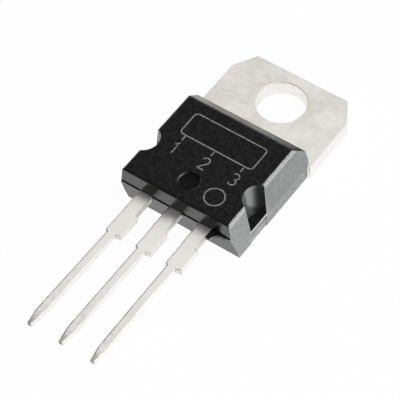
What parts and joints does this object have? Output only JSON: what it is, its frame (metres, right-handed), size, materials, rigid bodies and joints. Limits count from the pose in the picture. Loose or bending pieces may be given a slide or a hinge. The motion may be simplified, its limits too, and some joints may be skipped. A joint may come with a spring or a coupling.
{
  "type": "voltage regulator",
  "caption": "Fixed voltage regulator: moulded black case on a screw-down metal tab, with flat tinned leads for a circuit board.",
  "frame": {"origin": "axis of the mounting hole, on the back face of the tab", "axes": "+X from the input lead to the output lead, +Y to the free end of the tab, +Z out of the marked face"},
  "size_m": [0.0102, 0.0293, 0.0043],
  "materials": {
    "tinned_copper": "matte tin plating over copper",
    "solder": "dull soft solder",
    "silicon": "polished silicon",
    "aluminium_wire": "bare drawn wire",
    "black_epoxy": "moulded, finely matte on top, smoother on the sides"
  },
  "bodies": {
    "root": {"heatsink_with_ground_lead": "tinned_copper", "input_lead": "tinned_copper", "output_lead": "tinned_copper", "die_solder": "solder", "silicon_die": "silicon", "input_bond_wire": "aluminium_wire", "output_bond_wire": "aluminium_wire", "ground_bond_wire": "aluminium_wire", "epoxy_case": "black_epoxy"}
  },
  "joints": []
}
